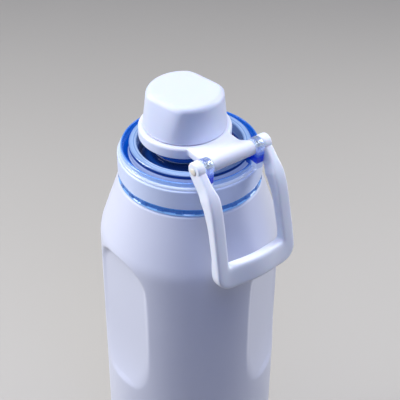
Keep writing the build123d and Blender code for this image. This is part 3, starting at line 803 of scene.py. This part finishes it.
wear(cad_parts["hinge_pin"], steel("polished_pin_steel", "#DADADC", 0.14, 0.4))
cream = moulded_plastic("cream_pin_cap_plastic", "#E6E1D2", "#E0DACA", 0.34, 0.5)
for side, name in ((1, "pin_cap_left"), (-1, "pin_cap_right")):
    low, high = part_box(name)
    inner_y = min(low.y / MM, high.y / MM, key=abs)
    turn = np.linspace(0, 2 * np.pi, 48, endpoint=False)[:, None]
    dome = np.linspace(0, np.pi / 2, 8)[None]
    cap_radius = 0.7 * 0.5 * (high.z - low.z) / MM
    reach = np.concatenate([[[0]], cap_radius * np.cos(dome)], axis=1)
    depth = np.concatenate([[[0]], 0.6 * np.sin(dome)], axis=1)
    pin_cap_grid = np.stack([hinge_x + reach * np.cos(turn), np.broadcast_to(inner_y + side * depth, (48, 9)),
                             hinge_z + reach * np.sin(turn)], -1)
    pin_cap = skin("cream_" + name, pin_cap_grid, along=False)
    wear(pin_cap, cream)
    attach(pin_cap, "lid")
    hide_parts(name)


# ---- Bail handle -----------------------------------------------------------------------------
# The handle is one moulding: bosses on the hinge pin, two arms that crank out over the rim, and
# a deeper crossbar, bowed to clear the bottle.

arm_top_out, arm_foot_out, arm_top_in, arm_foot_in = 22.0, 23.0, 15.2, 16.2
window_foot, handle_foot = 216.3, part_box("handle")[0].z / MM
outer_line = np.array([(31.0, 264.2), (34.4, 261.4), (38.2, 257.4), (42.4, 253.2), (45.6, 247.6),
                       (47.5, 240.6), (49.6, 231.0), (51.8, 221.0), (53.6, 211.0), (54.6, 203.5)])


def spline_near(points, count):
    """Smooth line near the points: a uniform cubic B-spline, its ends held by repeated points."""
    held = np.vstack([points[:1], points[:1], points, points[-1:], points[-1:]])
    t = np.linspace(0, len(held) - 3 - 1e-6, count)
    first = t.astype(int)
    f = (t - first)[:, None]
    weights = [(1 - f) ** 3, 3 * f ** 3 - 6 * f ** 2 + 4, -3 * f ** 3 + 3 * f ** 2 + 3 * f + 1, f ** 3]
    return sum(w * held[first + k] for k, w in enumerate(weights)) / 6


line = spline_near(outer_line, 400)
travel = np.concatenate([[0], np.cumsum(np.hypot(*np.diff(line, axis=0).T))])
slope = np.gradient(line, axis=0)
slope /= np.hypot(*slope.T)[:, None]
normal = np.column_stack([-slope[:, 1], slope[:, 0]])


def at_height(z):
    """Distance along the side line at which it passes this height."""
    return np.interp(-z, -line[:, 1], travel)


# The handle's outline seen from outside is two lines, one round the window and one round the
# outer edge, both given by (distance down the side line, y).
down_top, down_window, down_foot = at_height(262.0), at_height(window_foot), at_height(handle_foot + 0.8)
boss_in, boss_out = 16.8, 21.1
widen = down_top + 9.0
window_line = rounded_path([
    (down_top, -boss_in, 0), (widen, -boss_in + 0.2, 4), (widen + 6, -arm_top_in, 6),
    (down_window, -arm_foot_in, 1.6), (down_window, arm_foot_in, 1.6), (widen + 6, arm_top_in, 6),
    (widen, boss_in - 0.2, 4), (down_top, boss_in, 0)], closed=False)
edge_line = rounded_path([
    (down_top, -boss_out, 0), (widen, -boss_out - 0.2, 4), (widen + 6, -arm_top_out, 6),
    (down_foot, -arm_foot_out, 8.0), (down_foot, arm_foot_out, 8.0), (widen + 6, arm_top_out, 6),
    (widen, boss_out + 0.2, 4), (down_top, boss_out, 0)], closed=False)


def even(path, corners, count):
    """Points of a path at even steps between marked corners, so that two paths keep in step."""
    stretch = np.concatenate([[0], np.cumsum(np.hypot(*np.diff(path, axis=0).T))])
    places = np.concatenate([np.linspace(stretch[a], stretch[b], n, endpoint=False)
                             for a, b, n in zip(corners[:-1], corners[1:], count)] + [[stretch[corners[-1]]]])
    return np.column_stack([np.interp(places, stretch, path[:, k]) for k in (0, 1)])


corner_points = 10
per_corner = [1] + [corner_points] * 6 + [1]
starts = np.cumsum([0] + per_corner)
marks = [0, starts[3], starts[4] - 1, starts[4], starts[5] - 1, starts[8] - 1]
steps = [60, 12, 40, 12, 60]
window = even(window_line, marks, steps)
edge = even(edge_line, marks, steps)
section = np.linspace(0, 2 * np.pi, 40, endpoint=False)[None]
corner_power = 0.42
bow_depth, bow_half_width = 1.9, 18.5
side_share = 0.5 + 0.5 * np.sign(np.cos(section)) * np.abs(np.cos(section)) ** corner_power
deep_share = 0.5 + 0.5 * np.sign(np.sin(section)) * np.abs(np.sin(section)) ** corner_power
down = window[:, :1] + (edge[:, :1] - window[:, :1]) * side_share
y = window[:, 1:] + (edge[:, 1:] - window[:, 1:]) * side_share
bow = bow_depth * np.cos(np.clip(y / bow_half_width, -1, 1) * np.pi / 2) ** 2
thickness = np.interp(down, [down_top, widen + 6, at_height(236.0), at_height(222.0), down_window],
                      [8.6, 8.2, 5.6, 5.3, 6.2])
depth = bow - thickness * deep_share
x = np.interp(down, travel, line[:, 0]) - depth * -np.interp(down, travel, normal[:, 0])
z = np.interp(down, travel, line[:, 1]) + depth * np.interp(down, travel, normal[:, 1])
bail_grid = np.stack([x, y, z], -1)
ends = bail_grid.mean(1, keepdims=True)
bail_grid = np.concatenate([np.broadcast_to(ends[:1], bail_grid[:1].shape), bail_grid,
                            np.broadcast_to(ends[-1:], bail_grid[:1].shape)])
bail = skin("bail", bail_grid, around=False, along=True, sharp=50)
boss_radius, boss_edge = 4.3, 0.9
bosses = []
for side in (-1, 1):
    y_low, y_high = sorted((side * boss_in, side * boss_out))
    boss = barrel(boss_radius, y_low, y_high, boss_edge, hinge_x, hinge_z)
    bosses.append(skin("boss", boss, along=False))
handle = join("white_bail_handle", bail, bosses, sharp=50)
wear(handle, moulded_plastic("lavender_white_handle_plastic", "#E7ECF9", "#E3E8F6", 0.34, 0.7))
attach(handle, "bail")
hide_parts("handle")


# ---- Floor, lights and camera ----------------------------------------------------------------
# A plain pale floor; a large soft light on each side of the camera, one overhead and a weak blue
# fill in front, so that the front of the round bottle falls into soft shade.

floor_mesh = bpy.data.meshes.new("floor")
floor_mesh.from_pydata([(-6, -6, 0), (6, -6, 0), (6, 6, 0), (-6, 6, 0)], [], [(0, 1, 2, 3)])
floor = bpy.data.objects.new("floor", floor_mesh)
bpy.context.scene.collection.objects.link(floor)
floor_paint, tree, output, place = new_material("pale_floor")
mottle = add_node(tree, "ShaderNodeTexNoise", inputs={"Scale": 4.0, "Detail": 2.0}, links={"Vector": place})
shade = add_node(tree, "ShaderNodeMix", {"data_type": "RGBA"}, {6: linear("#B7B4AF"), 7: linear("#B4B1AC")},
                 {0: mottle.outputs["Fac"]})
matt = add_node(tree, "ShaderNodeBsdfPrincipled", inputs={"Roughness": 0.9, "Specular IOR Level": 0.2},
                links={"Base Color": shade.outputs[2]})
tree.links.new(matt.outputs["BSDF"], output.inputs["Surface"])
wear(floor, floor_paint)

world = bpy.data.worlds.new("studio")
world.use_nodes = True
world.node_tree.nodes["Background"].inputs["Color"].default_value = linear("#7F9CE8")
world.node_tree.nodes["Background"].inputs["Strength"].default_value = 0.10
bpy.context.scene.world = world
bpy.context.scene.view_settings.view_transform = "Standard"

camera_turn = math.radians(-36.4)


def aim(item, place, target, roll=0.0):
    """Puts a light or camera at a place, its view along the line to the target, turned by roll."""
    direction = (np.array(target) - np.array(place)).tolist()
    turned = Vector(direction).to_track_quat("-Z", "Y").to_matrix().to_4x4()
    item.matrix_world = Matrix.Translation(place) @ turned @ Matrix.Rotation(roll, 4, "Z")


def soft_light(name, turn_from_camera, distance, rise, width, tall, watts, colour="#FFFFFF"):
    """Rectangular soft light at an angle round the bottle from the camera, aimed at the lid."""
    data = bpy.data.lights.new(name, "AREA")
    data.shape = "RECTANGLE"
    data.size, data.size_y = width, tall
    data.energy = watts
    data.color = linear(colour)[:3]
    light = bpy.data.objects.new(name, data)
    bpy.context.scene.collection.objects.link(light)
    angle = camera_turn + math.radians(turn_from_camera)
    aim(light, (distance * math.cos(angle), distance * math.sin(angle), rise), (0, 0, 0.2))


soft_light("left_light", -95, 0.80, 0.62, 0.4, 0.8, 8.6)
soft_light("right_light", 112, 0.66, 0.56, 0.3, 0.6, 4.0)
soft_light("top_light", -60, 0.06, 1.10, 0.8, 0.8, 6.7)
soft_light("front_fill", 8, 0.50, 0.80, 0.4, 0.4, 1.05, "#84A4FF")

camera_data = bpy.data.cameras.new("camera")
camera_data.lens = 96.8
camera_data.sensor_width = 36.0
camera_data.clip_start = 0.01
camera = bpy.data.objects.new("camera", camera_data)
bpy.context.scene.collection.objects.link(camera)
aim(camera, (0.3414, -0.2517, 0.5379), (0.0028, 0.0040, 0.2160), roll=math.radians(0.494))
bpy.context.scene.camera = camera
